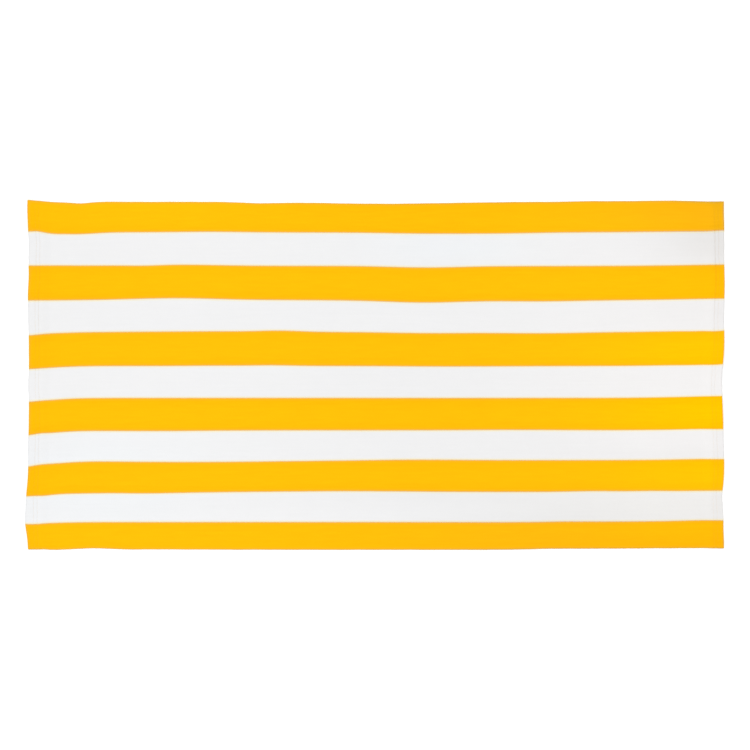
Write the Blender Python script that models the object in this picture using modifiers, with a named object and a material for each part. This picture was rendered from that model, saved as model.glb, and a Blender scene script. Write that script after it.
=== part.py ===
# A beach towel spread flat, face up, with its two short ends hemmed.
#
# The cloth is one woven panel. It is drawn as one open sheet that runs the whole length of the cut cloth,
# turns under twice at each short end, and is then given its thickness. Metres, +Z up. The towel's length
# lies along X and its width along Y, and its underside rests on z = 0 under the middle of its outline.
import math

import bmesh
import bpy

# The cloth
LENGTH = 1.524  # of the finished towel, between its two folded ends
CLOTH = 0.0024  # thickness of the body, pile included
HEM_CLOTH = 0.0014  # thickness where the stitches press the hem's layers
LAYER_GAP = 0.0003  # air between the layers of a hem
EDGE_THIN = 0.62  # thickness of the woven long edges, as a share of the cloth beside them

# The hem: the end is turned under, and its raw edge is turned in again
HEM_DEPTH = 0.0245
RAW_EDGE = 0.0030  # from the raw edge to the middle of the outer fold
HEM_SLOPE = 0.0150  # the length over which the face comes down from the hem to the body

# How finely the sheet is divided
BODY_CELLS = 56
SLOPE_CELLS = 5
LAYER_CELLS = 2
FOLD_CELLS = 6
STRIPE_CELLS = 2

# Stripes across the width, from the near long edge (-Y) to the far one: colour and width
STRIPES = (
    ("yellow", 0.0605),
    ("white", 0.0664),
    ("yellow", 0.0690),
    ("white", 0.0658),
    ("yellow", 0.0705),
    ("white", 0.0702),
    ("yellow", 0.0739),
    ("white", 0.0701),
    ("yellow", 0.0747),
    ("white", 0.0737),
    ("yellow", 0.0659),
)
WIDTH = sum(width for _, width in STRIPES)

# Sideways pulls in the cloth as it lies: name, place along and across, reach along and across, shift
PULLS = (
    ("left end, low side drawn down", -0.800, -0.138, 0.100, 0.180, -0.0125),
    ("left end, middle stripe drawn down", -0.790, 0.067, 0.110, 0.060, -0.0036),
    ("left, fourth stripes sagging", -0.400, -0.183, 0.280, 0.035, -0.0038),
    ("left, fifth stripes sagging", -0.560, -0.248, 0.170, 0.035, -0.0040),
    ("left, dip in the far edge", -0.660, 0.332, 0.060, 0.060, -0.0045),
    ("left far corner turned up", -0.790, 0.382, 0.050, 0.060, 0.0060),
    ("left, far stripes lifted", -0.440, 0.187, 0.130, 0.070, 0.0046),
    ("left of the middle, a lift", -0.220, 0.072, 0.060, 0.060, 0.0026),
    ("middle, far edge sagging", 0.000, 0.382, 0.200, 0.050, -0.0038),
    ("middle, far stripes sagging", 0.110, 0.212, 0.110, 0.140, -0.0035),
    ("right, third stripes sagging", 0.360, 0.132, 0.120, 0.070, -0.0032),
    ("right end drawn up", 0.800, -0.018, 0.160, 0.400, 0.0045),
    ("right, far edge drawn up", 0.630, 0.372, 0.120, 0.050, 0.0020),
    ("right, near edge drawn in", 0.600, -0.368, 0.220, 0.050, 0.0030),
    ("left, near edge drawn in", -0.620, -0.378, 0.050, 0.030, 0.0030),
)

# Lengthwise pulls at the ends: name, which end, place across, reach across, shift
END_PULLS = (
    ("left end hollow", -1, -0.018, 0.120, 0.0038),
    ("left end bulge", -1, -0.301, 0.043, -0.0068),
    ("right end hollow", 1, -0.033, 0.062, -0.0034),
    ("right end low hollow", 1, -0.266, 0.028, -0.0028),
)
END_FADE = 0.090  # an end pull dies out over this length

# Low swells where the cloth is off the surface: name, place along and across, reach along and across, height
SWELLS = (
    ("right end swell", 0.720, -0.030, 0.240, 0.230, 0.0060),
    ("left end swell", -0.740, -0.100, 0.110, 0.180, 0.0030),
    ("far edge ripple", 0.140, 0.340, 0.150, 0.110, 0.0030),
    ("near edge ripple", 0.300, -0.300, 0.260, 0.130, 0.0040),
    ("upper ripple", -0.420, 0.170, 0.200, 0.100, 0.0025),
)

# Linear base colour and roughness of each stripe's pile
PILES = {
    "yellow": ((1.0, 0.535, 0.003), 0.85),
    "white": ((0.89, 0.89, 0.895), 0.85),
}


def smooth(t):
    """0 before 0, 1 after 1, and a smooth step between."""
    t = min(1.0, max(0.0, t))
    return t * t * (3.0 - 2.0 * t)


def bell(distance, reach):
    """1 at no distance, falling off smoothly on both sides."""
    return math.exp(-((distance / reach) ** 2))


def dome(x, y, along, across, reach_along, reach_across):
    """1 at the middle of an ellipse and 0 from its rim outwards, with no crease at either."""
    r = math.hypot((x - along) / reach_along, (y - across) / reach_across)
    return math.cos(0.5 * math.pi * r) ** 2 if r < 1.0 else 0.0


def pulled(x, y):
    """Where a point of the flat towel lies in plan, once the cloth is pulled about."""
    along = sum(
        shift * bell(y - across, reach) * smooth(1.0 - (0.5 * LENGTH - end * x) / END_FADE)
        for _, end, across, reach, shift in END_PULLS
    )
    across = sum(
        shift * bell(x - pull_x, reach_x) * bell(y - pull_y, reach_y)
        for _, pull_x, pull_y, reach_x, reach_y, shift in PULLS
    )
    return x + along, y + across


def lift(x, y):
    """How far the cloth is off the surface."""
    return sum(height * dome(x, y, *place) for _, *place, height in SWELLS)


def layer(start, end, height):
    """A level layer of the hem, after its first point."""
    return [(start + (end - start) * n / LAYER_CELLS, height) for n in range(1, LAYER_CELLS + 1)]


def fold(middle, height, radius):
    """A half turn, after its first point: over the top and down, or with a negative radius under and up."""
    turns = [math.pi * n / FOLD_CELLS for n in range(1, FOLD_CELLS + 1)]
    return [(middle + radius * math.sin(turn), height + radius * math.cos(turn)) for turn in turns]


def end_section():
    """The cloth's middle line from the foot of the hem's slope to its raw edge.

    Each point is its distance from the towel's centre, its height, and the thickness as a share of CLOTH.
    """
    thin = HEM_CLOTH / CLOTH
    pitch = HEM_CLOTH + LAYER_GAP
    low, middle, high = (0.5 * HEM_CLOTH + n * pitch for n in range(3))
    inner_end = 0.5 * LENGTH - HEM_DEPTH
    outer_fold = 0.5 * LENGTH - 0.5 * HEM_CLOTH - pitch
    inner_fold = inner_end + 0.5 * HEM_CLOTH + 0.5 * pitch
    foot = 0.5 * CLOTH
    slope = []
    for n in range(SLOPE_CELLS + 1):
        back = HEM_SLOPE * (1.0 - n / SLOPE_CELLS)
        up = smooth(n / SLOPE_CELLS)
        slope.append((inner_end - back, foot + (high - foot) * up, 1.0 + (thin - 1.0) * up))
    hem = layer(inner_end, outer_fold, high)
    hem += fold(outer_fold, middle, pitch)
    hem += layer(outer_fold, inner_fold, low)
    hem += fold(inner_fold, 0.5 * (low + middle), -0.5 * pitch)
    hem += layer(inner_fold, outer_fold - RAW_EDGE, middle)
    return slope + [(x, z, thin) for x, z in hem]


def lengthwise_section():
    """The cloth's middle line from the left raw edge to the right one, as end_section gives it."""
    right = end_section()
    left = [(-x, z, share) for x, z, share in reversed(right)]
    foot = right[0][0]
    body = [(foot * (2.0 * n / BODY_CELLS - 1.0), 0.5 * CLOTH, 1.0) for n in range(1, BODY_CELLS)]
    return left + body + right


def crosswise_lines():
    """The places across the flat towel of the sheet's lines, and the pile of the cells between them."""
    places, piles = [], []
    edge = -0.5 * WIDTH
    for pile, width in STRIPES:
        places += [edge + width * n / STRIPE_CELLS for n in range(STRIPE_CELLS)]
        piles += [pile] * STRIPE_CELLS
        edge += width
    return places + [edge], piles


def pile_material(name):
    colour, roughness = PILES[name]
    material = bpy.data.materials.new(name + " pile")
    material.use_nodes = True
    shader = material.node_tree.nodes["Principled BSDF"]
    shader.inputs["Base Color"].default_value = (*colour, 1.0)
    shader.inputs["Roughness"].default_value = roughness
    shader.inputs["Metallic"].default_value = 0.0
    return material


def towel_sheet():
    """A grid with its columns along the section and its lines along the stripes, and each point's thickness."""
    section = lengthwise_section()
    places, piles = crosswise_lines()
    columns, lines = len(section) - 1, len(places) - 1
    sheet = bmesh.new()
    bmesh.ops.create_grid(sheet, x_segments=columns, y_segments=lines, size=0.5)
    slots = list(PILES)
    for face in sheet.faces:
        line = math.floor((face.calc_center_median().y + 0.5) * lines)
        face.material_index = slots.index(piles[line])
        face.smooth = True
    thickness = sheet.verts.layers.deform.verify()
    for vertex in sheet.verts:
        column = round((vertex.co.x + 0.5) * columns)
        line = round((vertex.co.y + 0.5) * lines)
        x, z, share = section[column]
        if line in (0, lines):  # a long edge is thinner, and keeps its underside where it is
            z -= 0.5 * CLOTH * share * (1.0 - EDGE_THIN)
            share *= EDGE_THIN
        y = places[line]
        vertex.co = (*pulled(x, y), z + lift(x, y))
        vertex[thickness][0] = share
    along = [vertex.co.x for vertex in sheet.verts]
    across = [vertex.co.y for vertex in sheet.verts]
    middle = (0.5 * (min(along) + max(along)), 0.5 * (min(across) + max(across)), 0.0)
    bmesh.ops.translate(sheet, verts=sheet.verts, vec=[-place for place in middle])
    mesh = bpy.data.meshes.new("towel")
    sheet.to_mesh(mesh)
    sheet.free()
    return mesh


def build():
    for old in list(bpy.data.objects):
        bpy.data.objects.remove(old, do_unlink=True)
    parts = bpy.data.collections.new("beach towel")
    bpy.context.scene.collection.children.link(parts)
    towel = bpy.data.objects.new("towel", towel_sheet())
    parts.objects.link(towel)
    for name in PILES:
        towel.data.materials.append(pile_material(name))
    towel.vertex_groups.new(name="thickness")
    solid = towel.modifiers.new("cloth thickness", "SOLIDIFY")
    solid.thickness = CLOTH
    solid.offset = 0.0
    solid.vertex_group = "thickness"
    solid.use_rim = True


build()
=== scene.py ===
import bpy
import numpy as np
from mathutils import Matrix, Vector


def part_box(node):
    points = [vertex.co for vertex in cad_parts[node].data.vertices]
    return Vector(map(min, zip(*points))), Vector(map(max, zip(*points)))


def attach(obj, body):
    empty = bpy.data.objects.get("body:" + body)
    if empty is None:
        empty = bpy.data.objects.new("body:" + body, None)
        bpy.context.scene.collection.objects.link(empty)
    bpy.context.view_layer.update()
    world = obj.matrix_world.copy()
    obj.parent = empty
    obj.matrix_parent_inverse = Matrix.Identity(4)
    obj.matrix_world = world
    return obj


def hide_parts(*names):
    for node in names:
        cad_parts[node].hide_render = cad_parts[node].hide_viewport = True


# A striped beach towel spread flat, face up, seen straight from above.
# Metres, +Z up: the towel's length lies along X, its width along Y, and it rests on z = 0.
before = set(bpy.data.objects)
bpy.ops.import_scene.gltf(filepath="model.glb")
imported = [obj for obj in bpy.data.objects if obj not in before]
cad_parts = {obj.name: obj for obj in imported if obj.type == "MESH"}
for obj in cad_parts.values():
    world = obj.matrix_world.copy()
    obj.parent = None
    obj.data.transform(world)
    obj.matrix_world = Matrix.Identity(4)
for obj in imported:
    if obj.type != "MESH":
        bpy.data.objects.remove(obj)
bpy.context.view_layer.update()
scene = bpy.context.scene
print("frame loaded,", len(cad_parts), "node")

# the cloth, one panel whose two short ends are turned under twice
cloth = {
    "length": 1.524,  # between the two folded ends
    "body": 0.0024,  # thickness, pile included
    "hem": 0.0014,  # thickness of a layer that the stitches press
    "layerGap": 0.0003,  # air between the hem's layers
    "hemDepth": 0.0245,
    "rawEdge": 0.0030,  # from the raw edge to the middle of the outer fold
    "slope": 0.0260,  # the face comes down from the hem to the body over this length
    "edgeThin": 0.62,  # thickness of the woven long edges, as a share of the cloth beside them
    "edgeReach": 0.012,  # the cloth thins towards a long edge over this width
    "edgeRound": 0.0008,  # radius, across, of a long edge
    "edgeWaver": 0.00022,  # how far a long edge strays from straight
    "partingDeep": 0.00034,  # depth of the groove where the pile parts between two stripes
    "partingReach": 0.00070,  # half width of that groove
    "partingBack": 0.6,  # its depth on the back, beside that on the face
    "flat": (0.761, 1.612),  # the cut panel before it is hemmed
}
halfLength = 0.5 * cloth["length"]

# cells of the sheet along each stretch of its section, and across a stripe
cells = {
    "body": 206,
    "slope": 12,
    "high": 24,
    "fold": 12,
    "low": 12,
    "innerFold": 8,
    "middle": 8,
    "stripe": 6,
}
besideBorder = (0.0005, 0.0013, 0.0040)  # lines of the sheet run this far from a border
besideEdge = (0.00006, 0.00024, 0.00050, 0.00080, 0.0020, 0.0050)  # and this far from a long edge

# stripes from the near long edge (-Y) to the far one: pile and width
stripes = (
    ("yellow", 0.0605),
    ("white", 0.0664),
    ("yellow", 0.0690),
    ("white", 0.0658),
    ("yellow", 0.0705),
    ("white", 0.0702),
    ("yellow", 0.0739),
    ("white", 0.0701),
    ("yellow", 0.0747),
    ("white", 0.0737),
    ("yellow", 0.0667),
)
whiteStripes = np.array([name == "white" for name, _ in stripes])

# sideways pulls in the cloth as it lies: name, place along and across, reach along and across, shift
pulls = (
    ("left end, low side drawn down", -0.800, -0.138, 0.100, 0.180, -0.0125),
    ("left end, middle stripe drawn down", -0.790, 0.067, 0.110, 0.060, -0.0036),
    ("left, fourth stripes sagging", -0.400, -0.183, 0.280, 0.035, -0.0038),
    ("left, fifth stripes sagging", -0.560, -0.248, 0.170, 0.035, -0.0040),
    ("left, dip in the far edge", -0.660, 0.332, 0.060, 0.060, -0.0045),
    ("left far corner turned up", -0.790, 0.382, 0.050, 0.060, 0.0060),
    ("left, far stripes lifted", -0.440, 0.187, 0.130, 0.070, 0.0046),
    ("left of the middle, a lift", -0.220, 0.072, 0.060, 0.060, 0.0026),
    ("middle, far edge sagging", 0.000, 0.382, 0.200, 0.050, -0.0038),
    ("middle, far stripes sagging", 0.110, 0.212, 0.110, 0.140, -0.0035),
    ("right, third stripes sagging", 0.360, 0.132, 0.120, 0.070, -0.0032),
    ("right end drawn up", 0.800, -0.018, 0.160, 0.400, 0.0045),
    ("right, far edge drawn up", 0.630, 0.372, 0.120, 0.050, 0.0020),
    ("right, near edge drawn in", 0.600, -0.368, 0.220, 0.050, 0.0030),
    ("left, near edge drawn in", -0.620, -0.378, 0.050, 0.030, 0.0030),
)

# smaller pulls of the same kind, a stripe or two wide
smallPulls = (
    ("right, first border slack", 0.260, 0.313, 0.120, 0.045, -0.0022),
    ("middle, third border slack", 0.100, 0.165, 0.140, 0.040, -0.0020),
    ("left, second border slack", -0.505, 0.239, 0.050, 0.030, -0.0015),
    ("left, seventh border slack", -0.500, -0.120, 0.170, 0.035, -0.0016),
    ("middle, ninth border tight", -0.060, -0.255, 0.170, 0.035, 0.0016),
    ("middle, eighth border tight", 0.090, -0.186, 0.120, 0.035, 0.0013),
    ("left end, eighth border slack", -0.760, -0.210, 0.030, 0.050, -0.0022),
    ("left end, fourth border slack", -0.760, 0.095, 0.020, 0.040, -0.0020),
    ("left near corner tight", -0.760, -0.382, 0.035, 0.040, 0.0030),
    ("right, ninth border tight", 0.480, -0.255, 0.070, 0.035, 0.0016),
    ("right, near edge tight", 0.420, -0.350, 0.060, 0.050, 0.0013),
    ("right, fifth border slack", 0.700, 0.060, 0.040, 0.060, -0.0013),
    ("left, fifth border tight", -0.330, 0.070, 0.100, 0.060, 0.0014),
    ("left, first border tight", -0.360, 0.313, 0.090, 0.030, 0.0011),
    ("middle, fifth border slack", 0.200, 0.060, 0.120, 0.060, -0.0011),
    ("right end, seventh border slack", 0.755, -0.150, 0.030, 0.060, -0.0014),
    ("right end, first border tight", 0.760, 0.313, 0.020, 0.030, 0.0016),
    ("right, far edge tight", 0.470, 0.380, 0.050, 0.030, 0.0013),
    ("right far corner slack", 0.740, 0.390, 0.050, 0.035, -0.0020),
    ("left of the middle, far edge slack", -0.250, 0.390, 0.055, 0.035, -0.0024),
    ("left far corner, edge tight", -0.715, 0.390, 0.045, 0.035, 0.0017),
    ("left, far edge slack beside the corner", -0.645, 0.390, 0.020, 0.030, -0.0018),
    ("left end, ninth border slack", -0.730, -0.255, 0.030, 0.030, -0.0022),
    ("left end, eighth border slack further in", -0.690, -0.190, 0.050, 0.025, -0.0013),
    ("left end, fifth border slack", -0.745, 0.070, 0.030, 0.025, -0.0016),
    ("left end, second border tight", -0.690, 0.243, 0.080, 0.030, 0.0013),
    ("left, ninth border tight", -0.575, -0.255, 0.055, 0.030, 0.0012),
    ("right end, ninth border tight", 0.600, -0.255, 0.060, 0.030, 0.0014),
    ("left, near edge tight", -0.480, -0.388, 0.200, 0.030, 0.0008),
    ("right of the middle, near edge tight", 0.360, -0.388, 0.050, 0.030, 0.0010),
    ("left of the middle, fourth border tight", -0.180, 0.100, 0.060, 0.030, 0.0010),
    ("right of the middle, seventh border tight", 0.300, -0.120, 0.130, 0.030, 0.0009),
    ("left end, far edge tight", -0.600, 0.390, 0.035, 0.030, 0.0009),
    ("left hem, far edge slack", -0.742, 0.390, 0.030, 0.025, -0.0009),
    ("left hem, first border tight", -0.743, 0.313, 0.015, 0.035, 0.0020),
    ("left hem, first border slack beside it", -0.703, 0.340, 0.020, 0.060, -0.0013),
    ("left hem, low borders tight", -0.735, -0.120, 0.018, 0.065, 0.0017),
    ("left hem, last border slack", -0.742, -0.322, 0.018, 0.020, -0.0012),
    ("left hem, ninth border tight", -0.744, -0.265, 0.015, 0.025, 0.0012),
    ("left hem, low end slack", -0.762, -0.200, 0.009, 0.035, -0.0014),
    ("left hem, near edge tight", -0.727, -0.390, 0.011, 0.025, 0.0014),
    ("right hem, middle stripe slack", 0.742, 0.070, 0.020, 0.060, -0.0018),
    ("right hem, last border tight", 0.720, -0.316, 0.070, 0.025, 0.0013),
)

# lengthwise pulls at the ends: name, which end, place across, reach across, shift
endPulls = (
    ("left end hollow", -1, -0.018, 0.120, 0.0038),
    ("left end bulge", -1, -0.301, 0.043, -0.0068),
    ("right end hollow", 1, -0.033, 0.062, -0.0034),
    ("right end low hollow", 1, -0.266, 0.028, -0.0028),
    ("right end, sixth stripe drawn in", 1, -0.075, 0.030, -0.0012),
    ("right end, near stripes drawn in", 1, -0.334, 0.032, -0.0016),
    ("left far corner let out", -1, 0.365, 0.025, -0.0009),
    ("left end, far white stripe drawn in", -1, 0.284, 0.031, 0.0024),
    ("left end, second yellow stripe drawn in", -1, 0.222, 0.030, 0.0023),
    ("left end, third yellow stripe drawn in", -1, 0.088, 0.022, 0.0008),
    ("left end, third white stripe let out", -1, -0.013, 0.027, -0.0027),
    ("left end, fourth yellow stripe drawn in", -1, -0.110, 0.020, 0.0005),
    ("left end, fourth white stripe drawn in", -1, -0.190, 0.022, 0.0007),
    ("left end, bulge let out at its far side", -1, -0.244, 0.024, -0.0016),
    ("left end, bulge flattened", -1, -0.293, 0.017, 0.0010),
    ("left near corner drawn in", -1, -0.370, 0.020, 0.0006),
    ("right far corner drawn in", 1, 0.360, 0.022, -0.0008),
    ("right end, second yellow stripe let out", 1, 0.197, 0.030, 0.0011),
    ("right end, second white stripe drawn in", 1, 0.116, 0.016, -0.0009),
    ("right end, third white stripe drawn in", 1, -0.010, 0.045, -0.0034),
    ("right end, fourth white stripe drawn in", 1, -0.130, 0.042, -0.0022),
    ("right end, near white stripe drawn in", 1, -0.275, 0.040, -0.0016),
)
endFade = 0.090  # an end pull dies out over this length

# where a hem is sewn deeper or shallower: name, which end, place across, reach across, how much further in
hemDrifts = (
    ("left hem deeper at its far side", -1, 0.300, 0.170, 0.0026),
    ("left hem deeper below the middle", -1, -0.100, 0.110, 0.0016),
    ("left hem deeper at the bulge", -1, -0.305, 0.045, 0.0035),
    ("right hem shallower at its far side", 1, 0.300, 0.060, -0.0012),
    ("right hem shallower at the second yellow stripe", 1, 0.215, 0.045, -0.0026),
    ("right hem deeper in the middle", 1, -0.060, 0.100, 0.0022),
)
driftWindow = (0.012, 0.030, 0.060)  # how far in a drift is full, begins to fade and is gone

# low swells where the cloth is off the floor: name, place along and across, reach along and across, height
swells = (
    ("right end swell", 0.720, -0.030, 0.240, 0.230, 0.0060),
    ("left end swell", -0.740, -0.100, 0.110, 0.180, 0.0030),
    ("far edge ripple", 0.140, 0.340, 0.150, 0.110, 0.0030),
    ("near edge ripple", 0.300, -0.300, 0.260, 0.130, 0.0040),
    ("upper ripple", -0.420, 0.170, 0.200, 0.100, 0.0025),
)

# rows of stitches: which end, distance in from the folded end, and how deep the thread draws the face down
# at the row's far side and at its near side
stitchRows = (
    (-1, 0.0150, 0.00040, 0.00040),
    (-1, 0.0228, 0.00055, 0.00055),
    (1, 0.0135, 0.00045, 0.00045),
    (1, 0.0215, 0.00070, 0.00015),
)

# the groove along a row of stitches
rowGroove = {
    "reach": 0.0011,  # half its width
    "waver": 0.30,  # how much deeper and shallower it is by turns
    "turn": 2.1,  # the waver of each next row starts this much further on
    "cover": 0.65,  # the yellow pile closes over this share of its depth
    "under": 0.8,  # its depth on the underside, beside that on the face
    "inside": 0.4,  # and on the inner side of the top layer
}

# the sines of an uneven wave: length over 2 pi, and how its start turns
waverLengths = ((0.0093, 1.0), (0.0171, 2.3), (0.0379, -1.0))

# the faint lengthwise ripples in the body; every length is that of a wave over 2 pi
ripples = {
    "height": 0.00011,
    "across": (0.0061, 0.0113),  # a fine and a broad wave across the towel
    "wander": ((0.012, 0.210, 0.0), (0.007, 0.093, 1.0)),  # how far they stray, over what length, start
    "fade": (0.31, 0.05),  # the fine wave comes and goes along and across
}


def smooth(t):
    # 0 before 0, 1 after 1, a smooth step between
    t = np.clip(t, 0.0, 1.0)
    return t * t * (3.0 - 2.0 * t)


def bell(distance, reach):
    # 1 at no distance, falling off smoothly on both sides
    return np.exp(-((distance / reach) ** 2))


def spot(x, y, along, across, reachAlong, reachAcross):
    # a bell along times a bell across: 1 in the middle, soft all round
    return bell(x - along, reachAlong) * bell(y - across, reachAcross)


def dome(x, y, along, across, reachAlong, reachAcross):
    # squared cosine of the distance from an ellipse's middle, 0 from its rim outwards
    r = np.hypot((x - along) / reachAlong, (y - across) / reachAcross)
    return np.where(r < 1.0, np.cos(0.5 * np.pi * np.minimum(r, 1.0)) ** 2, 0.0)


def waver(place, start=0.0):
    # an uneven wave between about -1 and 1: the mean of sines whose lengths have no common measure
    return sum(np.sin(place / length + turn * start) for length, turn in waverLengths) / len(waverLengths)


def drifted(x, y):
    # place along of a point of the flat towel, once its hem is sewn deeper or shallower there
    gap = halfLength - np.abs(x)
    grown, held, gone = driftWindow
    window = smooth(gap / grown) * smooth((gone - gap) / (gone - held))
    inwards = sum(
        shift * bell(y - across, reach) * np.where(end * x > 0.0, 1.0, 0.0)
        for _, end, across, reach, shift in hemDrifts
    )
    return x - np.sign(x) * window * inwards


def pulled(x, y):
    # plan place of a point of the flat towel: each sideways pull adds its shift times a spot, and each end
    # pull its shift times a bell across, fading inwards
    along = sum(
        shift * bell(y - across, reach) * smooth(1.0 - (halfLength - end * x) / endFade)
        for _, end, across, reach, shift in endPulls
    )
    across = sum(shift * spot(x, y, *place) for _, *place, shift in pulls + smallPulls)
    return x + along, y + across


def lift(x, y):
    # height of the cloth off the floor: the swells' domes, and two waves that run along the towel, to which
    # 2 is added so that their sum never sinks below 0
    swell = sum(height * dome(x, y, *place) for _, *place, height in swells)
    wander = sum(width * np.sin(x / length + start) for width, length, start in ripples["wander"])
    fine, broad = ripples["across"]
    fadeAlong, fadeAcross = ripples["fade"]
    fineWave = np.sin((y + wander) / fine) * np.sin(x / fadeAlong + y / fadeAcross)
    return swell + ripples["height"] * (2.0 + fineWave + np.sin((y - wander) / broad))


def snapped(values, rows):
    # the evenly spaced values, with the nearest one moved onto each row
    values = values.copy()
    for row in rows:
        values[np.argmin(np.abs(values - row))] = row
    return values


def endSection(end):
    # the cloth's middle line from the foot of the hem's slope, out along the face, round the outer fold,
    # back underneath, round the inner fold and out to the raw edge: distance from the centre, height,
    # thickness share and layer (0 slope, 1 high, 2 outer fold, 3 low, 4 inner fold, 5 middle)
    thin = cloth["hem"] / cloth["body"]
    pitch = cloth["hem"] + cloth["layerGap"]
    low, middle, high = (0.5 * cloth["hem"] + n * pitch for n in range(3))
    innerEnd = halfLength - cloth["hemDepth"]
    outerFold = halfLength - 0.5 * cloth["hem"] - pitch
    innerFold = innerEnd + 0.5 * cloth["hem"] + 0.5 * pitch
    rows = [halfLength - inset for side, inset, *_ in stitchRows if side == end]
    foot = 0.5 * cloth["body"]
    down = np.linspace(0.0, 1.0, cells["slope"] + 1)
    up = smooth(down)
    turn = np.pi * np.arange(1, cells["fold"] + 1) / cells["fold"]
    tuck = np.pi * np.arange(1, cells["innerFold"] + 1) / cells["innerFold"]
    highX = snapped(np.linspace(innerEnd, outerFold, cells["high"] + 1), rows)[1:]
    lowX = snapped(np.linspace(outerFold, innerFold, cells["low"] + 1), rows)[1:]
    middleX = np.linspace(innerFold, outerFold - cloth["rawEdge"], cells["middle"] + 1)[1:]
    stretches = (
        (innerEnd - cloth["slope"] * (1.0 - down), foot + (high - foot) * up, 1.0 + (thin - 1.0) * up),
        (highX, high, thin),
        (outerFold + pitch * np.sin(turn), middle + pitch * np.cos(turn), thin),
        (lowX, low, thin),
        (innerFold - 0.5 * pitch * np.sin(tuck), 0.5 * (low + middle) - 0.5 * pitch * np.cos(tuck), thin),
        (middleX, middle, thin),
    )
    x = np.concatenate([stretch[0] for stretch in stretches])
    z = np.concatenate([np.broadcast_to(stretch[1], stretch[0].shape) for stretch in stretches])
    share = np.concatenate([np.broadcast_to(stretch[2], stretch[0].shape) for stretch in stretches])
    layer = np.concatenate([np.full(len(stretch[0]), n) for n, stretch in enumerate(stretches)])
    return x, z, share, layer


def lengthwiseSection():
    # from the left raw edge to the right one: the left end is the right one mirrored, with its own rows
    left = endSection(-1)
    right = endSection(1)
    foot = right[0][0]
    bodyX = np.linspace(-foot, foot, cells["body"] + 1)[1:-1]
    body = (bodyX, np.full(len(bodyX), 0.5 * cloth["body"]), np.ones(len(bodyX)), np.zeros(len(bodyX), int))
    x = np.concatenate([-left[0][::-1], body[0], right[0]])
    z, share, layer = (np.concatenate([left[n][::-1], body[n], right[n]]) for n in (1, 2, 3))
    return x, z, share, layer


def acrossLines():
    # places across the flat cloth: close together beside each border and long edge, even between
    borders = np.concatenate([[0.0], np.cumsum([width for _, width in stripes])])
    borders -= 0.5 * borders[-1]
    places = [borders]
    for n, (start, stop) in enumerate(zip(borders[:-1], borders[1:])):
        low = np.array(besideEdge if n == 0 else besideBorder)
        high = np.array(besideEdge if n == len(stripes) - 1 else besideBorder)
        inner = np.linspace(start + low[-1], stop - high[-1], cells["stripe"] + 1)[1:-1]
        places += [start + low, inner, stop - high]
    return np.sort(np.concatenate(places)), borders


def whiteAt(y, borders):
    # whether the stripe at each place across the flat cloth is a white one
    return whiteStripes[np.clip(np.searchsorted(borders, y) - 1, 0, len(stripes) - 1)]


def rowGrooves(x, y, borders):
    # how far each row of stitches draws the face down: a bell across the row, whose depth goes from that of
    # its far side to that of its near side, swings along the row, and is less on the yellow stripes
    onYellow = ~whiteAt(y, borders)
    fromBorder = np.abs(y[..., None] - borders).min(axis=-1)
    cover = 1.0 - rowGroove["cover"] * onYellow * smooth(fromBorder / besideBorder[-1])
    depth = np.zeros(np.broadcast(x, y).shape)
    for n, (end, inset, far, near) in enumerate(stitchRows):
        deep = near + (far - near) * smooth((y - borders[0]) / (borders[-1] - borders[0]))
        deep = deep * (1.0 + rowGroove["waver"] * waver(y, rowGroove["turn"] * n)) * cover
        depth = depth + deep * bell(x - end * (halfLength - inset), rowGroove["reach"])
    return depth


def clothSurface():
    # middle surface = section carried across, pulled and lifted; face and back = middle surface plus and
    # minus its normal times half the thickness, which thins and rounds off at the long edges and sinks
    # into a groove at each border; the rows draw the top layer down, and up the one that lies on the floor
    x0, z0, share, layer = lengthwiseSection()
    y0, borders = acrossLines()
    column, line = x0[:, None], y0[None, :]
    edgeGap = np.minimum(y0 - borders[0], borders[-1] - y0)
    thin = cloth["edgeThin"] + (1.0 - cloth["edgeThin"]) * smooth(edgeGap / cloth["edgeReach"])
    rounding = np.sqrt(1.0 - (1.0 - np.minimum(edgeGap / cloth["edgeRound"], 1.0)) ** 2)
    borderGap = np.abs(y0[:, None] - borders[None, 1:-1]).min(axis=1)
    parting = cloth["partingDeep"] * bell(borderGap, cloth["partingReach"])
    half = 0.5 * cloth["body"] * share[:, None] * thin
    x, y = pulled(drifted(column, line), line + 0.0 * column)
    y = y + cloth["edgeWaver"] * waver(column, np.sign(y0)) * bell(edgeGap, cloth["edgeReach"])
    z = z0[:, None] - 0.5 * cloth["body"] * share[:, None] * (1.0 - thin) + lift(column, line)
    middle = np.stack([x, y, z], axis=-1)
    normal = np.cross(np.gradient(middle, axis=0), np.gradient(middle, axis=1))
    normal /= np.linalg.norm(normal, axis=-1, keepdims=True)
    face = middle + (half * rounding - share[:, None] * parting)[..., None] * normal
    back = middle - (half * rounding - cloth["partingBack"] * share[:, None] * parting)[..., None] * normal
    grooves = rowGrooves(column, line, borders) * rounding
    high, low = (layer == 1)[:, None], (layer == 3)[:, None]
    face[..., 2] += rowGroove["under"] * low * grooves - high * grooves
    back[..., 2] -= rowGroove["inside"] * high * grooves
    points = np.concatenate([face, back]).reshape(-1, 3)
    lowest, highest = (np.array(corner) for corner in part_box("towel"))
    move = 0.5 * (lowest + highest - points.min(axis=0) - points.max(axis=0)) * np.array([1.0, 1.0, 0.0])
    steps = np.linalg.norm(np.diff(middle[:, len(y0) // 2], axis=0), axis=-1)
    return {
        "x0": x0,
        "y0": y0,
        "layer": layer,
        "borders": borders,
        "borderGap": borderGap,
        "face": face + move,
        "back": back + move,
        "normal": normal,
        "along": np.concatenate([[0.0], np.cumsum(steps)]),  # along the cut cloth, from its left raw edge
    }


surface = clothSurface()
print("cloth surface worked out,", surface["face"].shape[:2], "points a side")


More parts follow.
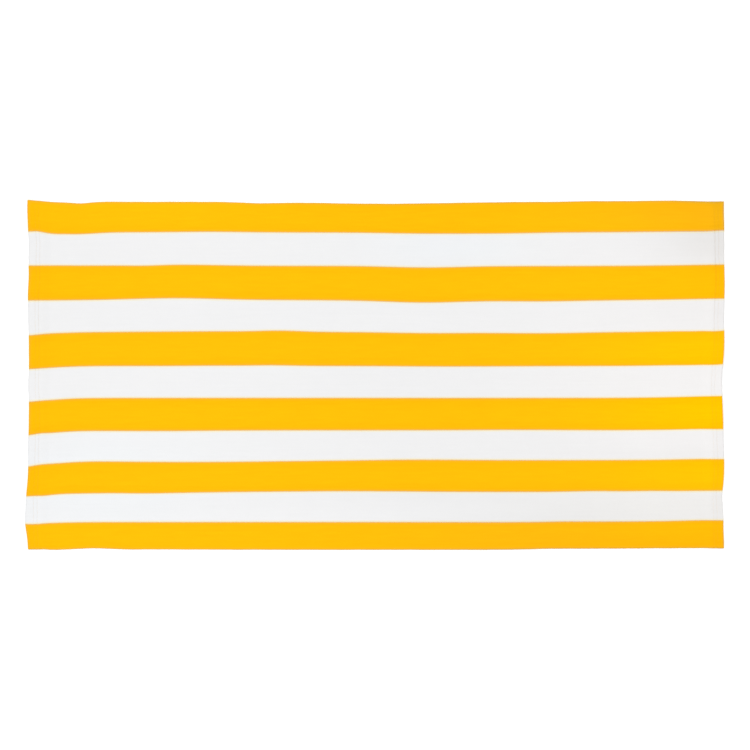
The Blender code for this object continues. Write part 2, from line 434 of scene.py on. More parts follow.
def meshObject(name, points, faces, materials, materialIndex, smoothShading=True):
    mesh = bpy.data.meshes.new(name)
    mesh.from_pydata(points, [], faces)
    for material in materials:
        mesh.materials.append(material)
    mesh.polygons.foreach_set("material_index", np.asarray(materialIndex, np.int32))
    mesh.polygons.foreach_set("use_smooth", np.full(len(mesh.polygons), smoothShading))
    mesh.update()
    piece = bpy.data.objects.new(name, mesh)
    scene.collection.objects.link(piece)
    return piece


hemBlend = (0.003, 0.001)  # a hem's looks begin this far before its inner end, and are full this far past it


def hemShare(x):
    # 1 on a hem, 0 on the body, a smooth step between
    before, past = hemBlend
    return smooth((np.abs(x) - halfLength + cloth["hemDepth"] + before) / (before + past))


# linear colours of the yarns, and the pile's looks, painted shade among them
yarns = {
    "yellow": (0.960, 0.451, 0.0028),
    "white": (0.7358, 0.7352, 0.7397),
    "cream": (0.814, 0.712, 0.390),  # white pile that picks up the yellow beside it
    "paleYellow": (0.918, 0.463, 0.069),  # yellow pile with stray white fibres in it
    "thread": (0.880, 0.500, 0.070),
}
pile = {
    "roughTufts": (1.0, 0.88),  # roughness from the hollows between the tufts to their tips
    "tuftRange": (0.3, 0.7),  # the height of the tufts or loops at the same two
    "sheen": 0.12,
    "sheenRoughness": 0.5,
    "sheenTint": {"yellow": (1.0, 0.62, 0.05), "white": (1.0, 1.0, 1.0)},
    "streak": {"yellow": 0.020, "white": 0.011},  # lengthwise streaks, as a share of the colour
    "streakGrain": (3.0, 240.0, 1.0),  # their swings to a metre, along and across
    "dash": {"yellow": 0.046, "white": 0.011},  # shorter ones
    "dashGrain": (18.0, 170.0, 1.0),
    "speck": 0.05,  # tufts differ in tone, and the hollows between tufts or loops get painted shade from the noise of their relief
    "cloud": 0.010,  # broad soft patches
    "cloudGrain": 14.0,
    "jag": 0.0008,  # how far tufts of one yarn lean over the stripe's border
    "jagGrain": 700.0,
    "mixed": 0.0012,  # the yarns mix over this width on each side of it
    "parting": 0.12,  # the shade in the groove at a border
    "partingReach": (0.0002, 0.0016),
    "rim": 0.072,  # painted shade: the yellow is a little darker beside a border and an edge
    "rimReach": 0.0075,
    "paintedBorderShade": 0.040,  # and painted shade that deepens slowly from a stripe's middle to its borders
    "paintedBorderShadeReach": 0.028,
    "stray": 0.29,  # how much of the pale yellow shows beside a border and an edge
    "strayReach": 0.0072,
    "tint": 0.85,  # how much of the cream shows in the white beside a border
    "tintReach": (0.0005, 0.0056),
    "paintedHemShade": {"yellow": (0.030, 0.020), "white": (0.008, 0.012)},  # painted shade over the left hem and the right
    "edge": {"yellow": (0.22, 0.11, 0.22), "white": (0.085, 0.085, 0.085)},  # shade where the pile bends over
    "edgeReach": 0.0017,  # at a long edge
    "foldReach": 0.0024,  # and at a folded end
    "foldShare": {"yellow": (0.85, 0.35), "white": (1.15, 0.05)},  # how strong at the left end and the right
    "faceTuft": 900.0,  # tufts of the sheared face to a metre
    "tuftShape": (1.0, 1.25, 1.0),  # they are a little longer along the towel than across it
    "faceRow": 640.0,  # its lengthwise rows to a metre
    "rowWander": 1.2,  # how unevenly they run
    "rowHeight": 0.30,  # their height beside that of the tufts
    "backLoop": 560.0,  # loops of the back to a metre
    "loopStray": 0.75,  # how far they are from an even grid, where 1 is all chance
    "fibre": 1900.0,  # stray fibres to a metre
    "fibreShape": (0.6, 1.0, 1.0),  # they too are longer along the towel
    "fibreRange": (0.36, 0.64),  # from no fibre to a whole one, in the noise that places them
    "bump": 0.5,  # strength of the relief
    "faceHeight": 0.0005,  # its height on the sheared face
    "backHeight": 0.0011,  # and on the looped back
    "puckerGrain": (70.0, 300.0, 1.0),  # fine puckers in the hems
    "puckerBump": 0.6,
    "puckerHeight": 0.0006,
}

# painted light and shade on the pile, in patches: name, yarn, place along and across, reach along and across,
# how much lighter or darker
paintedLightPatches = (
    ("middle, faint shade", "both", 0.120, 0.000, 0.300, 0.500, -0.018),
    ("left, painted light", "both", -0.500, 0.100, 0.250, 0.500, 0.008),
    ("near side, right of the middle, in shade", "both", 0.450, -0.360, 0.380, 0.120, -0.080),
    ("far stripe in shade", "both", 0.200, 0.400, 0.500, 0.060, -0.046),
    ("far stripe, right, in shade", "both", 0.550, 0.370, 0.150, 0.050, -0.030),
    ("right far corner in shade", "both", 0.760, 0.370, 0.150, 0.110, -0.085),
    ("left near corner, painted light", "both", -0.700, -0.300, 0.150, 0.100, 0.010),
    ("left near white stripes, light", "white", -0.600, -0.200, 0.250, 0.130, 0.018),
    ("left far stripes in faint shade", "both", -0.620, 0.200, 0.220, 0.200, -0.010),
    ("far white stripe, light", "white", 0.150, 0.282, 0.190, 0.040, 0.022),
    ("far white stripe, right end in shade", "white", 0.800, 0.282, 0.160, 0.050, -0.058),
    ("second white stripe, middle, light", "white", 0.060, 0.125, 0.120, 0.040, 0.009),
    ("second white stripe, right, in faint shade", "white", 0.700, 0.140, 0.120, 0.040, -0.020),
    ("second white stripe, right hem in shade", "white", 0.765, 0.131, 0.030, 0.035, -0.016),
    ("third white stripe, right hem, light", "white", 0.765, -0.013, 0.030, 0.030, 0.020),
    ("fourth white stripe, right, in faint shade", "white", 0.400, -0.155, 0.120, 0.040, -0.014),
    ("fourth white stripe, right, near side in faint shade", "white", 0.640, -0.173, 0.170, 0.014, -0.020),
    ("near white stripe, right end in shade", "white", 0.800, -0.290, 0.100, 0.040, -0.035),
    ("near white stripe, light", "white", 0.250, -0.290, 0.400, 0.040, 0.011),
    ("far yellow stripe, left, light", "yellow", -0.480, 0.350, 0.120, 0.040, 0.015),
    ("far yellow stripe, right end in shade", "yellow", 0.760, 0.350, 0.170, 0.040, -0.045),
    ("far yellow stripe, right end, middle light", "yellow", 0.740, 0.346, 0.090, 0.014, 0.024),
    ("second yellow stripe, right end in shade", "both", 0.785, 0.210, 0.060, 0.050, -0.032),
    ("third yellow stripe, right, light", "yellow", 0.740, 0.048, 0.250, 0.060, 0.077),
    ("fourth yellow stripe, right, light", "yellow", 0.800, -0.082, 0.250, 0.066, 0.106),
    ("fifth yellow stripe, right, light", "yellow", 0.700, -0.218, 0.190, 0.060, 0.066),
    ("near yellow stripe, right end in shade", "yellow", 0.800, -0.355, 0.090, 0.040, -0.040),
    ("near yellow stripe, far side light", "yellow", 0.000, -0.332, 2.000, 0.012, 0.012),
    ("near yellow stripe, near side in faint shade", "yellow", 0.000, -0.371, 2.000, 0.011, -0.013),
    ("far edge in faint shade", "yellow", 0.000, 0.384, 2.000, 0.012, -0.020),
    ("near white stripe, near side light", "white", -0.200, -0.309, 0.500, 0.014, 0.014),
    ("near white stripe, middle, far side in faint shade", "white", 0.120, -0.264, 0.260, 0.014, -0.017),
    ("near edge, right, in shade", "yellow", 0.700, -0.374, 0.160, 0.014, -0.030),
    ("near yellow stripe, middle, in faint shade", "yellow", -0.020, -0.350, 0.160, 0.016, -0.014),
    ("near yellow stripe, right, far side light", "yellow", 0.500, -0.332, 0.220, 0.014, 0.014),
)

# faint casts of colour: name, yarn, place along and across, reach along and across, more or less red and blue
casts = (
    ("right half, warmer white", "white", 0.780, -0.050, 0.400, 0.500, 0.019, -0.014),
    ("near white stripe, right, warmer", "white", 0.600, -0.290, 0.260, 0.060, 0.000, -0.017),
    ("far white stripe, right end, warmer", "white", 0.780, 0.282, 0.110, 0.060, 0.010, -0.018),
    ("left near white stripes, cooler", "white", -0.620, -0.230, 0.240, 0.110, -0.021, 0.012),
    ("far white stripe, middle, cooler", "white", 0.160, 0.282, 0.170, 0.040, -0.020, 0.012),
    # the yellow's casts follow the painted light and shade: purer where it is painted lighter, duller where
    # it is painted darker, and browner at the right far corner and its edge, which are painted shade
    ("middle yellow stripes, right, purer", "yellow", 0.760, -0.060, 0.240, 0.200, 0.000, -0.900),
    ("far yellow stripe, right, duller", "yellow", 0.740, 0.350, 0.260, 0.040, 0.000, 1.100),
    ("near yellow stripe, right, duller", "yellow", 0.330, -0.355, 0.260, 0.050, 0.000, 0.550),
    ("right far corner, browner", "yellow", 0.765, 0.350, 0.045, 0.050, -0.060, 0.400),
    ("right far corner, edge browner", "yellow", 0.720, 0.384, 0.055, 0.007, -0.110, 0.600),
)

# the shade in the rows of stitches: which row, place across, reach across, share of the light it takes
rowShades = (
    (0, 0.270, 0.110, 0.035),
    (0, 0.060, 0.060, 0.030),
    (0, -0.220, 0.110, 0.030),
    (1, 0.170, 0.160, 0.040),
    (1, -0.180, 0.080, 0.030),
    (2, 0.280, 0.120, 0.030),
    (2, -0.180, 0.080, 0.040),
    (3, 0.220, 0.100, 0.090),
    (3, -0.040, 0.060, 0.020),
)


def edgeGaps(x, y):
    # distances from the long edges and from the folded ends
    near, far = surface["borders"][0], surface["borders"][-1]
    return np.minimum(y - near, far - y), halfLength - np.abs(x)


def shadeAt(yarn, x, y, layer):
    # how light a yarn looks in red, green and blue: the painted light and shade patches, less the painted
    # shade over the hems, the rows' painted shade and the painted shade where the pile bends over at the long
    # edges and the folded ends, with the casts of colour
    shade = 1.0 + sum(
        tone * spot(x, y, *place) for _, where, *place, tone in paintedLightPatches if where in ("both", yarn)
    )
    shade = shade * (1.0 - np.where(x < 0.0, *pile["paintedHemShade"][yarn]) * hemShare(x))
    for n, across, reach, dark in rowShades:
        end, inset, *_ = stitchRows[n]
        inRow = spot(x, y, end * (halfLength - inset), across, rowGroove["reach"], reach)
        shade = shade * (1.0 - np.where(layer == 1, dark, 0.0) * inRow)
    sideGap, endGap = edgeGaps(x, y)
    atEnd = np.where(x < 0.0, *pile["foldShare"][yarn]) * bell(endGap, pile["foldReach"])
    bent = np.maximum(bell(sideGap, pile["edgeReach"]), atEnd)
    red, blue = 1.0, 1.0
    for _, where, *place, moreRed, moreBlue in casts:
        share = spot(x, y, *place) if where == yarn else 0.0
        red = red + moreRed * share
        blue = blue + moreBlue * share
    colour = np.stack([shade * red, shade, shade * blue], axis=-1)
    return colour * (1.0 - np.array(pile["edge"][yarn]) * bent[..., None])


def addNode(tree, kind, inputs=(), **settings):
    # a new node, with its settings, and its inputs filled with values or linked to sockets
    node = tree.nodes.new(kind)
    for key, value in settings.items():
        setattr(node, key, value)
    for key, value in dict(inputs).items():
        if isinstance(value, bpy.types.NodeSocket):
            tree.links.new(value, node.inputs[key])
        else:
            node.inputs[key].default_value = value
    return node


def mathNode(tree, operation, a, b=0.0, c=0.0):
    return addNode(tree, "ShaderNodeMath", {0: a, 1: b, 2: c}, operation=operation).outputs[0]


def around(tree, value, amount):
    # a factor that swings about 1 by the amount, from a noise value that swings about 0.5
    return mathNode(tree, "MULTIPLY_ADD", value, 2.0 * amount, 1.0 - amount)


def ramp(tree, value, start, stop, first, last):
    # the first value up to the start, the last from the stop on, a smooth step between
    inputs = {"Value": value, "From Min": start, "From Max": stop, "To Min": first, "To Max": last}
    return addNode(tree, "ShaderNodeMapRange", inputs, interpolation_type="SMOOTHSTEP").outputs[0]


def blended(tree, share, first, second):
    # the first colour at a share of 0, the second at 1
    inputs = {"Factor": share, "A": first, "B": second}
    return addNode(tree, "ShaderNodeMix", inputs, data_type="RGBA").outputs["Result"]


def scaled(tree, colour, factor):
    # a colour made lighter or darker
    inputs = {0: colour, "Scale": factor}
    return addNode(tree, "ShaderNodeVectorMath", inputs, operation="SCALE").outputs[0]


def bumped(tree, height, strength, distance, **under):
    # the normal of a relief, as high as the distance where its height is 1
    inputs = {"Height": height, "Strength": strength, "Distance": distance, **under}
    return addNode(tree, "ShaderNodeBump", inputs).outputs[0]


def noise(tree, place, grain, count=1.0, detail=2.0):
    # noise on the cloth's own place, with grain times count swings to a metre along and across
    stretched = addNode(tree, "ShaderNodeMapping", {"Vector": place, "Scale": grain}).outputs[0]
    inputs = {"Vector": stretched, "Scale": count, "Detail": detail}
    return addNode(tree, "ShaderNodeTexNoise", inputs).outputs["Fac"]


def mottled(tree, place, share):
    # a share broken up into stray fibres: fine noise takes from none of it to twice as much
    fibres = noise(tree, place, pile["fibreShape"], pile["fibre"])
    return mathNode(tree, "MULTIPLY", share, ramp(tree, fibres, *pile["fibreRange"], 0.0, 2.0))


def evenBands(tree, place, count, wander):
    # waves across the second coordinate, this many to a metre; the texture makes 20 / (2 pi) waves at scale 1
    inputs = {"Vector": place, "Scale": count * 2.0 * np.pi / 20.0, "Distortion": wander}
    return addNode(tree, "ShaderNodeTexWave", inputs, bands_direction="Y").outputs["Fac"]


def backLoops(tree, place):
    # round loops side by side, highest in their middles
    inputs = {"Vector": place, "Scale": pile["backLoop"], "Randomness": pile["loopStray"]}
    distance = addNode(tree, "ShaderNodeTexVoronoi", inputs, feature="F1").outputs["Distance"]
    return mathNode(tree, "SUBTRACT", 1.0, distance)


def attribute(tree, name, output="Fac"):
    return addNode(tree, "ShaderNodeAttribute", attribute_name=name).outputs[output]


evenGrain = (1.0, 1.0, 1.0)  # of noise that swings alike in every direction
plainRoughness = 0.95  # of the thread, the loose fibres and the floor


def yarnColour(yarn):
    return (*yarns[yarn], 1.0)


def clothShader(name):
    # a matte material of cloth, and its tree and shader
    material = bpy.data.materials.new(name)
    material.use_nodes = True
    shader = material.node_tree.nodes["Principled BSDF"]
    shader.inputs["Roughness"].default_value = plainRoughness
    shader.inputs["Specular IOR Level"].default_value = 0.0
    return material, material.node_tree, shader


def pileMaterial(name, own, other, looped):
    # own is the stripe's yarn, other the next stripe's; looped is the back, whose loops aren't sheared
    material, tree, shader = clothShader(name)
    place = addNode(tree, "ShaderNodeUVMap", uv_map="clothPlace").outputs["UV"]
    gap = attribute(tree, "stripeGap")

    # colour: the two yarns meet at a jagged line, beside which the white is tinted and the yellow paler; the
    # noise strays about a quarter from its middle, so four times its stray is the whole lean
    stray = mathNode(tree, "SUBTRACT", noise(tree, place, evenGrain, pile["jagGrain"]), 0.5)
    lean = -4.0 * pile["jag"] if own == "yellow" else 4.0 * pile["jag"]
    jagged = mathNode(tree, "MULTIPLY_ADD", stray, lean, gap)
    inside = ramp(tree, jagged, -pile["mixed"], pile["mixed"], 0.0, 1.0)
    if own == "white":
        mixedIn = "cream"
        mixture = ramp(tree, gap, *pile["tintReach"], pile["tint"], 0.0)
    else:
        rimGap = attribute(tree, "rimGap")
        mixedIn = "paleYellow"
        mixture = ramp(tree, rimGap, 0.0, pile["strayReach"], pile["stray"], 0.0)
    ownColour = blended(tree, mottled(tree, place, mixture), yarnColour(own), yarnColour(mixedIn))
    colour = blended(tree, inside, yarnColour(other), ownColour)
    # the painted light and shade and the casts of colour, worked out at each point
    inputs = {0: colour, 1: attribute(tree, own + "Shade", "Vector")}
    colour = addNode(tree, "ShaderNodeVectorMath", inputs, operation="MULTIPLY").outputs[0]

    # light and dark: streaks along the cloth, tufts with painted shade in their hollows, clouds, painted
    # shade in the partings, and the yellow's painted shade at its rim and towards its borders
    if looped:
        tufts = backLoops(tree, place)
    else:
        tufts = noise(tree, place, pile["tuftShape"], pile["faceTuft"], detail=3.0)
    factors = [
        around(tree, noise(tree, place, pile["streakGrain"], detail=3.0), pile["streak"][own]),
        around(tree, noise(tree, place, pile["dashGrain"], detail=1.0), pile["dash"][own]),
        # the tufts' tone, with painted shade in their hollows
        around(tree, tufts, pile["speck"]),
        around(tree, noise(tree, place, evenGrain, pile["cloudGrain"]), pile["cloud"]),
        ramp(tree, gap, *pile["partingReach"], 1.0 - pile["parting"], 1.0),
    ]
    if own == "yellow":
        factors.append(ramp(tree, rimGap, 0.0, pile["rimReach"], 1.0 - pile["rim"], 1.0))
        factors.append(ramp(tree, gap, 0.0, pile["paintedBorderShadeReach"], 1.0 - pile["paintedBorderShade"], 1.0))
    shade = factors[0]
    for factor in factors[1:]:
        shade = mathNode(tree, "MULTIPLY", shade, factor)
    tree.links.new(scaled(tree, colour, shade), shader.inputs["Base Color"])

    # relief: tufts and rows or loops, and fine puckers in the hems
    puckers = noise(tree, place, pile["puckerGrain"], detail=1.0)
    puckers = mathNode(tree, "MULTIPLY", puckers, attribute(tree, "hem"))
    puckered = bumped(tree, puckers, pile["puckerBump"], pile["puckerHeight"])
    if looped:
        relief = bumped(tree, tufts, pile["bump"], pile["backHeight"], Normal=puckered)
    else:
        rows = evenBands(tree, place, pile["faceRow"], pile["rowWander"])
        height = mathNode(tree, "MULTIPLY_ADD", rows, pile["rowHeight"], tufts)
        relief = bumped(tree, height, pile["bump"], pile["faceHeight"], Normal=puckered)
    tree.links.new(relief, shader.inputs["Normal"])
    roughness = ramp(tree, tufts, *pile["tuftRange"], *pile["roughTufts"])
    tree.links.new(roughness, shader.inputs["Roughness"])
    shader.inputs["Sheen Weight"].default_value = pile["sheen"]
    shader.inputs["Sheen Roughness"].default_value = pile["sheenRoughness"]
    shader.inputs["Sheen Tint"].default_value = (*pile["sheenTint"][own], 1.0)
    return material


def closedLoop():
    # quads of a loop of lines that runs over the face and back under it; strips close the two raw edges
    columns, lines = surface["face"].shape[:2]
    points = np.concatenate([surface["face"], surface["back"][:, -2:0:-1]], axis=1)
    index = np.arange(columns * points.shape[1]).reshape(columns, -1)
    after = np.roll(index, -1, axis=1)
    quads = np.stack([index[:-1], index[1:], after[1:], after[:-1]], axis=-1).reshape(-1, 4).tolist()
    capFaces = []
    for column, flip in ((0, True), (columns - 1, False)):
        over = index[column, :lines]
        under = np.concatenate([[over[0]], index[column, :lines - 1:-1], [over[-1]]])
        strip = np.stack([under[:-1], under[1:], over[1:], over[:-1]], axis=-1)
        cap = [strip[0, [0, 1, 2]].tolist(), *strip[1:-1].tolist(), strip[-1, [0, 1, 3]].tolist()]
        capFaces += [quad[::-1] if flip else quad for quad in cap]
    return points, quads, capFaces


def setAttribute(mesh, name, kind, key, values):
    # a number or a vector at each point
    mesh.attributes.new(name, kind, "POINT").data.foreach_set(key, values.astype(np.float32).ravel())


def towelCloth():
    points, quads, capFaces = closedLoop()
    columns, lines = surface["face"].shape[:2]
    cell = np.arange(points.shape[1])
    onFace = cell < lines - 1
    faceCell = np.where(onFace, cell, points.shape[1] - 1 - cell)  # the back's cells mirror the face's
    cellMiddle = 0.5 * (surface["y0"][:-1] + surface["y0"][1:])
    isWhite = whiteAt(cellMiddle, surface["borders"])
    slots = isWhite[faceCell] + np.where(onFace, 0, 2)
    materials = [
        pileMaterial("yellowPile", "yellow", "white", False),
        pileMaterial("whitePile", "white", "yellow", False),
        pileMaterial("yellowLoops", "yellow", "white", True),
        pileMaterial("whiteLoops", "white", "yellow", True),
    ]
    materialIndex = np.concatenate([np.tile(slots, columns - 1), np.tile(2 + isWhite, 2)])
    piece = meshObject("towelCloth", points.reshape(-1, 3), quads + capFaces, materials, materialIndex)

    # the cloth's own place, in metres along the cut cloth and across it
    mesh = piece.data
    across = np.concatenate([surface["y0"], surface["y0"][-2:0:-1]])
    place = np.stack(np.broadcast_arrays(surface["along"][:, None], across[None, :]), axis=-1).reshape(-1, 2)
    corner = np.zeros(len(mesh.loops), np.int32)
    mesh.loops.foreach_get("vertex_index", corner)
    mesh.uv_layers.new(name="clothPlace").data.foreach_set("uv", place[corner].astype(np.float32).ravel())
    gap = np.concatenate([surface["borderGap"], surface["borderGap"][-2:0:-1]])
    x, y, layer = surface["x0"][:, None], across[None, :], surface["layer"][:, None]
    sideGap, endGap = edgeGaps(x, y)
    values = {
        "stripeGap": gap + 0.0 * x,
        "rimGap": np.minimum(np.minimum(gap, sideGap), endGap),
        "hem": hemShare(x) + 0.0 * gap,
    }
    for name, value in values.items():
        setAttribute(mesh, name, "FLOAT", "value", value)
    for yarn in ("yellow", "white"):
        setAttribute(mesh, yarn + "Shade", "FLOAT_VECTOR", "vector", shadeAt(yarn, x, y, layer))
    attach(piece, "root")
    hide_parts("towel")
    return piece


towelPiece = towelCloth()
print("cloth made,", len(towelPiece.data.polygons), "faces")

# the sewing thread of the hems, one colour all along
thread = {
    "radius": 0.00011,
    "pitch": 0.0030,
    "shows": 0.0024,  # length of a stitch that lies on the cloth
    "sink": 0.00050,  # its two ends dip this far into the cloth
    "lay": 0.00005,  # its middle lies this far out of the bottom of the groove
    "stray": 0.00012,  # how far a stitch slants, and lies off its place along the row
    "sides": 5,
    "rings": (-1.0, -0.6, 0.0, 0.6, 1.0),  # places along half a stitch
    "fromEdge": 0.0040,  # a row stops this far from the long edges
    "twist": 1320.0,  # turns of the yarn to a metre
    "twistWander": 0.6,  # how unevenly it is twisted
    "slant": 0.7,  # its plies slant by this angle, in radians
    "deep": 0.72,  # painted shade between its plies: how light it is there
    "bump": 0.5,
    "bumpHeight": 0.00005,
}


def threadMaterial():
    # slanting bands along the thread, between its colour and a darker one that is painted shade between its
    # plies
    material, tree, shader = clothShader("goldThread")
    place = addNode(tree, "ShaderNodeTexCoord").outputs["Object"]
    inputs = {"Vector": place, "Rotation": (0.0, 0.0, thread["slant"])}
    turned = addNode(tree, "ShaderNodeMapping", inputs).outputs[0]
    bands = evenBands(tree, turned, thread["twist"], thread["twistWander"])
    deep = tuple(thread["deep"] * value for value in yarns["thread"])
    tree.links.new(blended(tree, bands, (*deep, 1.0), yarnColour("thread")), shader.inputs["Base Color"])
    relief = bumped(tree, bands, thread["bump"], thread["bumpHeight"])
    tree.links.new(relief, shader.inputs["Normal"])
    return material


def tubeFaces(count, rings, sides):
    # quads round each tube between its rings, and a face that closes each of its ends
    index = np.arange(count * rings * sides).reshape(count, rings, sides)
    after = np.roll(index, -1, axis=2)
    quads = np.stack([index[:, :-1], index[:, 1:], after[:, 1:], after[:, :-1]], axis=-1).reshape(-1, 4)
    return quads.tolist() + index[:, 0].tolist() + index[:, -1, ::-1].tolist()


def hemStitches(name, layer, up, material, seed):
    # a stitch is a tube along Y; with s from -1 to 1 along it, its middle line stands lay - sink * |s| ** 3
    # out of the bottom of the row's groove, and slants sideways by s times its own stray
    rng = np.random.default_rng(seed)
    s = np.array(thread["rings"])
    turn = 2.0 * np.pi * np.arange(thread["sides"]) / thread["sides"]
    ring = thread["radius"] * np.stack([np.cos(turn), 0.0 * turn, np.sin(turn)], axis=-1)
    last = surface["borders"][-1] - thread["fromEdge"]
    middles = np.arange(-last, last, thread["pitch"]) + 0.5 * thread["pitch"]
    tubes = []
    for end, inset, *_ in stitchRows:
        row = end * (halfLength - inset)
        onLayer = np.flatnonzero(surface["layer"] == layer)
        groove = surface["face"][onLayer[np.argmin(np.abs(surface["x0"][onLayer] - row))]]
        shifted = rng.normal(0.0, thread["stray"], len(middles))[:, None]
        flatY = middles[:, None] + 0.5 * thread["shows"] * s + shifted
        line = np.stack([np.interp(flatY, surface["y0"], groove[:, axis]) for axis in range(3)], axis=-1)
        slanted = rng.normal(0.0, thread["stray"], len(middles))[:, None]
        line[..., 0] += slanted * s
        line[..., 2] += up * (thread["lay"] - thread["sink"] * np.abs(s) ** 3)
        tubes.append(line[:, :, None, :] + ring)
    points = np.concatenate(tubes)
    points[..., 2] = np.maximum(points[..., 2], 0.0)
    count, rings, sides = points.shape[:3]
    faces = tubeFaces(count, rings, sides)
    piece = meshObject(name, points.reshape(-1, 3), faces, [material], np.zeros(len(faces)))
    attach(piece, "root")
    return piece


goldThread = threadMaterial()
faceStitches = hemStitches("faceStitches", 1, 1.0, goldThread, 11)
backStitches = hemStitches("backStitches", 3, -1.0, goldThread, 12)
print("hems stitched,", len(faceStitches.data.polygons) + len(backStitches.data.polygons), "faces")

# loose fibres that stand out of the long edges and the folded ends
fuzz = {
    "sideCount": 8000,  # on the two long edges
    "endCount": 4500,  # on the two folded ends
    "short": 0.0005,
    "long": 0.0016,
    "thick": 0.00007,  # radius at its root
    "root": 0.00015,  # a fibre starts this far inside the cloth
    "spread": 0.65,  # how far its direction strays from straight out
    "outwards": 0.4,  # the least part of it that points outwards, before it is brought to length 1
    "tone": 0.12,  # how much lighter and darker the fibres are by turns
    "toneGrain": 500.0,
    "seed": 23,
}


def fibreMaterial(name, own):
    material, tree, shader = clothShader(name)
    place = addNode(tree, "ShaderNodeTexCoord").outputs["Object"]
    shade = around(tree, noise(tree, place, evenGrain, fuzz["toneGrain"]), fuzz["tone"])
    tree.links.new(scaled(tree, yarns[own], shade), shader.inputs["Base Color"])
    return material


def between(grid, column, line):
    # the grid's value at fractions of a column and a line
    c, n = np.floor(column).astype(int), np.floor(line).astype(int)
    c, n = np.minimum(c, grid.shape[0] - 2), np.minimum(n, grid.shape[1] - 2)
    u, v = (column - c)[:, None], (line - n)[:, None]
    near = grid[c, n] * (1.0 - u) + grid[c + 1, n] * u
    far = grid[c, n + 1] * (1.0 - u) + grid[c + 1, n + 1] * u
    return near * (1.0 - v) + far * v


def edgeFuzz():
    # a fibre is a thin pyramid on three points; its direction is the edge's outward one plus a random part
    rng = np.random.default_rng(fuzz["seed"])
    columns, lines = surface["face"].shape[:2]
    sidePlace = rng.uniform(0.0, surface["along"][-1], fuzz["sideCount"])
    sideColumn = np.interp(sidePlace, surface["along"], np.arange(columns))
    sideLine = rng.integers(0, 2, fuzz["sideCount"]) * (lines - 1.0)
    sideOut = np.stack([0.0 * sideLine, np.where(sideLine > 0.0, 1.0, -1.0), 0.0 * sideLine], axis=-1)
    foldColumns = np.flatnonzero(surface["layer"] == 2)
    endColumn = foldColumns[rng.integers(0, len(foldColumns) - 1, fuzz["endCount"])]
    endColumn = endColumn + rng.uniform(0.0, 1.0, fuzz["endCount"])
    endPlace = rng.uniform(surface["y0"][0], surface["y0"][-1], fuzz["endCount"])
    endLine = np.interp(endPlace, surface["y0"], np.arange(lines))
    column = np.concatenate([sideColumn, endColumn])
    line = np.concatenate([sideLine, endLine])
    out = np.concatenate([sideOut, between(surface["normal"], endColumn, endLine)])
    direction = out + rng.normal(0.0, fuzz["spread"], out.shape)
    direction += out * np.maximum(0.0, fuzz["outwards"] - (direction * out).sum(axis=-1, keepdims=True))
    direction /= np.linalg.norm(direction, axis=-1, keepdims=True)
    length = rng.uniform(fuzz["short"], fuzz["long"], len(out))[:, None]
    start = between(surface["face"], column, line) - fuzz["root"] * out
    across = np.cross(direction, [0.36, 0.48, 0.80])  # any fixed direction gives one across the fibre
    across /= np.linalg.norm(across, axis=-1, keepdims=True)
    third = np.cross(direction, across)
    turn = 2.0 * np.pi * np.arange(3) / 3.0
    ring = np.cos(turn)[:, None] * across[:, None] + np.sin(turn)[:, None] * third[:, None]
    foot = start[:, None] + fuzz["thick"] * ring
    points = np.concatenate([foot, (start + length * direction)[:, None]], axis=1)
    points[..., 2] = np.abs(points[..., 2])
    index = 4 * np.arange(len(out))[:, None, None]
    faces = (index + np.array([[0, 1, 3], [1, 2, 3], [2, 0, 3], [2, 1, 0]])).reshape(-1, 3).tolist()
    flatY = np.interp(line, np.arange(lines), surface["y0"])
    isWhite = whiteAt(flatY, surface["borders"])
    materials = [fibreMaterial("yellowFibre", "yellow"), fibreMaterial("whiteFibre", "white")]
    piece = meshObject("edgeFuzz", points.reshape(-1, 3), faces, materials, np.repeat(isWhite, 4), False)
    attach(piece, "root")
    return piece


fuzzPiece = edgeFuzz()
print("edges fuzzed,", len(fuzzPiece.data.polygons), "faces")

# the pale floor, far wider than any view
floor = {
    "colour": (0.96, 0.96, 0.96),
    "size": 60.0,
    "drop": 0.0002,  # it lies this far below the towel's underside
}


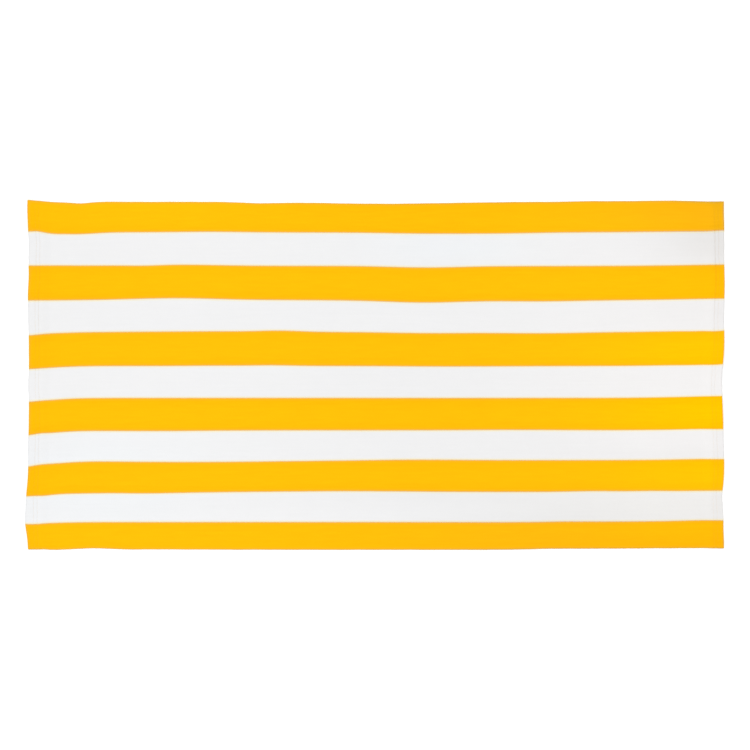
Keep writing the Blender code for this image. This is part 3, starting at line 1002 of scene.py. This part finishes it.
def paleFloor():
    edge, height = 0.5 * floor["size"], -floor["drop"]
    corners = [(-edge, -edge, height), (edge, -edge, height), (edge, edge, height), (-edge, edge, height)]
    material, _, shader = clothShader("paleFloor")
    shader.inputs["Base Color"].default_value = (*floor["colour"], 1.0)
    piece = meshObject("floor", corners, [(0, 1, 2, 3)], [material], [0], False)


paleFloor()

# soft studio light: a white room with a brighter band round the horizon, and one broad soft lamp nearly
# overhead, a little towards the left and the far side
light = {
    "fill": 0.56,  # the room's light from above
    "band": 1.02,  # and from the horizon
    "bandTop": (0.20, 0.28),  # heights between which the band fades into the rest
    "key": 2.08,  # the lamp
    "keyAngle": 50.0,  # its width in degrees, seen from the towel
    "keyFrom": (-0.16, 0.14, 0.98),
}


def studioLight():
    world = bpy.data.worlds.new("studio")
    world.use_nodes = True
    scene.world = world
    tree = world.node_tree
    direction = addNode(tree, "ShaderNodeTexCoord").outputs["Generated"]
    height = addNode(tree, "ShaderNodeSeparateXYZ", {0: direction}).outputs["Z"]
    level = ramp(tree, height, *light["bandTop"], light["band"], light["fill"])
    tree.links.new(level, tree.nodes["Background"].inputs["Strength"])
    tree.nodes["Background"].inputs["Color"].default_value = (1.0, 1.0, 1.0, 1.0)
    lamp = bpy.data.lights.new("softLamp", "SUN")
    lamp.energy = light["key"]
    lamp.angle = np.radians(light["keyAngle"])
    lampObject = bpy.data.objects.new("softLamp", lamp)
    scene.collection.objects.link(lampObject)
    lampObject.rotation_euler = (-Vector(light["keyFrom"])).to_track_quat("-Z", "Y").to_euler()


studioLight()

# the camera looks straight down
view = {
    "frameWidth": 1.6418,  # how wide the photograph's frame is on the floor
    "centre": (0.0005, -0.0003),
    "lens": 100.0,
    "sensor": 36.0,
    "farthest": 200.0,  # it sees this far
}
camera = bpy.data.objects.new("camera", bpy.data.cameras.new("camera"))
scene.collection.objects.link(camera)
camera.data.lens = view["lens"]
camera.data.sensor_width = view["sensor"]
camera.location = (*view["centre"], view["frameWidth"] * view["lens"] / view["sensor"])
camera.data.clip_end = view["farthest"]
scene.camera = camera
scene.view_settings.view_transform = "Standard"
print("floor, light and camera set")
